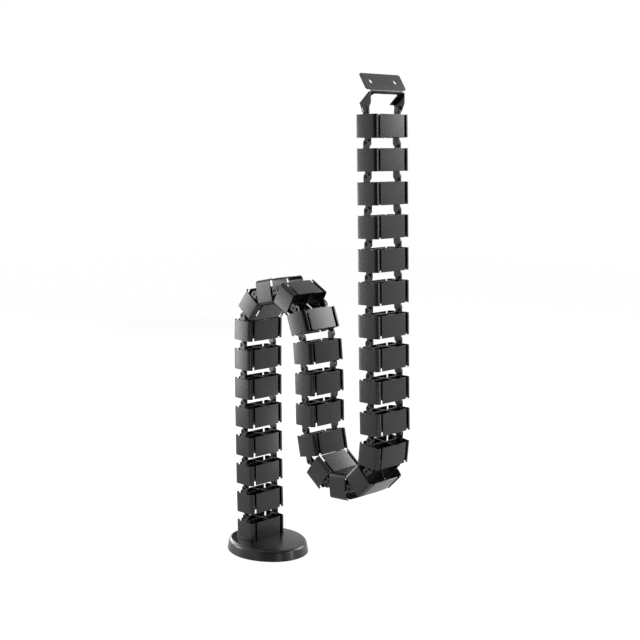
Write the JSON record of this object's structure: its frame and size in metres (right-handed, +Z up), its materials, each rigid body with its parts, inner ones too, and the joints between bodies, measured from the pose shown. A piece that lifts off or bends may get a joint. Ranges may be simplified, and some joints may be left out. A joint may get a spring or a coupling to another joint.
{
  "type": "cable spine",
  "caption": "Desk cable spine: a weighted oval foot, a chain of hinged open vertebrae that guide cables in an S, and a hinged screw-on desk bracket",
  "frame": {"origin": "centre of the oval foot, on the surface it stands on", "axes": "+Z up, +X in the bending plane from the foot's column towards the bracket's column, +Y along the hinge axes"},
  "size_m": [0.3083, 0.1098, 0.6707],
  "materials": {
    "spine_plastic": "black moulded plastic with a fine satin grain",
    "cover_plastic": "black moulded plastic, satin",
    "weight_steel": "cut steel plate",
    "rubber": "dull black rubber sheet",
    "screw_steel": "zinc-plated steel",
    "bracket_paint": "black powder coat, semi-gloss",
    "rivet_black": "blackened steel"
  },
  "bodies": {
    "base": {"base_pad": "rubber", "base_weight": "weight_steel", "base_cover": "cover_plastic", "base_screws": "screw_steel", "spine_screws": "screw_steel", "base_link": "spine_plastic"},
    "link_01": {"link_01": "spine_plastic"},
    "link_02": {"link_02": "spine_plastic"},
    "link_03": {"link_03": "spine_plastic"},
    "link_04": {"link_04": "spine_plastic"},
    "link_05": {"link_05": "spine_plastic"},
    "link_06": {"link_06": "spine_plastic"},
    "link_07": {"link_07": "spine_plastic"},
    "link_08": {"link_08": "spine_plastic"},
    "link_09": {"link_09": "spine_plastic"},
    "link_10": {"link_10": "spine_plastic"},
    "link_11": {"link_11": "spine_plastic"},
    "link_12": {"link_12": "spine_plastic"},
    "link_13": {"link_13": "spine_plastic"},
    "link_14": {"link_14": "spine_plastic"},
    "link_15": {"link_15": "spine_plastic"},
    "link_16": {"link_16": "spine_plastic"},
    "link_17": {"link_17": "spine_plastic"},
    "link_18": {"link_18": "spine_plastic"},
    "link_19": {"link_19": "spine_plastic"},
    "link_20": {"link_20": "spine_plastic"},
    "link_21": {"link_21": "spine_plastic"},
    "link_22": {"link_22": "spine_plastic"},
    "link_23": {"link_23": "spine_plastic"},
    "link_24": {"link_24": "spine_plastic"},
    "link_25": {"link_25": "spine_plastic"},
    "link_26": {"link_26": "spine_plastic"},
    "link_27": {"link_27": "spine_plastic"},
    "link_28": {"link_28": "spine_plastic"},
    "link_29": {"link_29": "spine_plastic"},
    "desk_bracket": {"desk_bracket": "bracket_paint", "bracket_rivets": "rivet_black"}
  },
  "joints": [
    {"name": "joint_01", "type": "hinge", "parent": "base", "child": "link_01", "pos_m": [-0.015, 0, 0.05085], "axis": [0, 1, 0], "range_deg": [-39.5, 42.5]},
    {"name": "joint_02", "type": "hinge", "parent": "link_01", "child": "link_02", "pos_m": [-0.0161, 0, 0.09284], "axis": [0, -1, 0], "range_deg": [-40.2, 41.8]},
    {"name": "joint_03", "type": "hinge", "parent": "link_02", "child": "link_03", "pos_m": [-0.01661, 0, 0.13483], "axis": [0, 1, 0], "range_deg": [-41.2, 40.8]},
    {"name": "joint_04", "type": "hinge", "parent": "link_03", "child": "link_04", "pos_m": [-0.01698, 0, 0.17683], "axis": [0, -1, 0], "range_deg": [-41.3, 40.7]},
    {"name": "joint_05", "type": "hinge", "parent": "link_04", "child": "link_05", "pos_m": [-0.01757, 0, 0.21883], "axis": [0, 1, 0], "range_deg": [-41.8, 40.2]},
    {"name": "joint_06", "type": "hinge", "parent": "link_05", "child": "link_06", "pos_m": [-0.01757, 0, 0.26083], "axis": [0, -1, 0], "range_deg": [-40, 41.3]},
    {"name": "joint_07", "type": "hinge", "parent": "link_06", "child": "link_07", "pos_m": [-0.01735, 0, 0.30283], "axis": [0, 1, 0], "range_deg": [-42.1, 33]},
    {"name": "joint_08", "type": "hinge", "parent": "link_07", "child": "link_08", "pos_m": [-0.01632, 0, 0.34481], "axis": [0, -1, 0], "range_deg": [-4.2, 77.7]},
    {"name": "joint_09", "type": "hinge", "parent": "link_08", "child": "link_09", "pos_m": [0.00964, 0, 0.37783], "axis": [0, 1, 0], "range_deg": [-81.4, 0.5]},
    {"name": "joint_10", "type": "hinge", "parent": "link_09", "child": "link_10", "pos_m": [0.05083, 0, 0.38608], "axis": [0, -1, 0], "range_deg": [-0.3, 81.6]},
    {"name": "joint_11", "type": "hinge", "parent": "link_10", "child": "link_11", "pos_m": [0.08743, 0, 0.3655], "axis": [0, 1, 0], "range_deg": [-81.7, 0.2]},
    {"name": "joint_12", "type": "hinge", "parent": "link_11", "child": "link_12", "pos_m": [0.10171, 0, 0.326], "axis": [0, -1, 0], "range_deg": [-26.6, 55.4]},
    {"name": "joint_13", "type": "hinge", "parent": "link_12", "child": "link_13", "pos_m": [0.10571, 0, 0.28419], "axis": [0, 1, 0], "range_deg": [-44.5, 37.5]},
    {"name": "joint_14", "type": "hinge", "parent": "link_13", "child": "link_14", "pos_m": [0.10715, 0, 0.24221], "axis": [0, -1, 0], "range_deg": [-40.3, 41.7]},
    {"name": "joint_15", "type": "hinge", "parent": "link_14", "child": "link_15", "pos_m": [0.10808, 0, 0.20022], "axis": [0, 1, 0], "range_deg": [-30.4, 51.6]},
    {"name": "joint_16", "type": "hinge", "parent": "link_15", "child": "link_16", "pos_m": [0.11672, 0, 0.15912], "axis": [0, -1, 0], "range_deg": [-81.7, 0.2]},
    {"name": "joint_17", "type": "hinge", "parent": "link_16", "child": "link_17", "pos_m": [0.15011, 0, 0.13364], "axis": [0, 1, 0], "range_deg": [-0.2, 81.7]},
    {"name": "joint_18", "type": "hinge", "parent": "link_17", "child": "link_18", "pos_m": [0.19203, 0, 0.13616], "axis": [0, -1, 0], "range_deg": [-81.7, 0.2]},
    {"name": "joint_19", "type": "hinge", "parent": "link_18", "child": "link_19", "pos_m": [0.22213, 0, 0.16545], "axis": [0, 1, 0], "range_deg": [-1.2, 80.7]},
    {"name": "joint_20", "type": "hinge", "parent": "link_19", "child": "link_20", "pos_m": [0.22652, 0, 0.20722], "axis": [0, -1, 0], "range_deg": [-48.9, 30]},
    {"name": "joint_21", "type": "hinge", "parent": "link_20", "child": "link_21", "pos_m": [0.22513, 0, 0.24919], "axis": [0, 1, 0], "range_deg": [-37.5, 40.4]},
    {"name": "joint_22", "type": "hinge", "parent": "link_21", "child": "link_22", "pos_m": [0.22418, 0, 0.29118], "axis": [0, -1, 0], "range_deg": [-41, 41]},
    {"name": "joint_23", "type": "hinge", "parent": "link_22", "child": "link_23", "pos_m": [0.22323, 0, 0.33317], "axis": [0, 1, 0], "range_deg": [-41, 41]},
    {"name": "joint_24", "type": "hinge", "parent": "link_23", "child": "link_24", "pos_m": [0.22227, 0, 0.37516], "axis": [0, -1, 0], "range_deg": [-41, 41]},
    {"name": "joint_25", "type": "hinge", "parent": "link_24", "child": "link_25", "pos_m": [0.22132, 0, 0.41715], "axis": [0, 1, 0], "range_deg": [-41, 41]},
    {"name": "joint_26", "type": "hinge", "parent": "link_25", "child": "link_26", "pos_m": [0.22037, 0, 0.45914], "axis": [0, -1, 0], "range_deg": [-41, 41]},
    {"name": "joint_27", "type": "hinge", "parent": "link_26", "child": "link_27", "pos_m": [0.21941, 0, 0.50113], "axis": [0, 1, 0], "range_deg": [-41, 41]},
    {"name": "joint_28", "type": "hinge", "parent": "link_27", "child": "link_28", "pos_m": [0.21846, 0, 0.54312], "axis": [0, -1, 0], "range_deg": [-41, 41]},
    {"name": "joint_29", "type": "hinge", "parent": "link_28", "child": "link_29", "pos_m": [0.21751, 0, 0.58511], "axis": [0, 1, 0], "range_deg": [-41, 41]},
    {"name": "bracket_hinge", "type": "hinge", "parent": "link_29", "child": "desk_bracket", "pos_m": [0.21655, 0, 0.62709], "axis": [0, -1, 0], "range_deg": [-60, 60]}
  ]
}
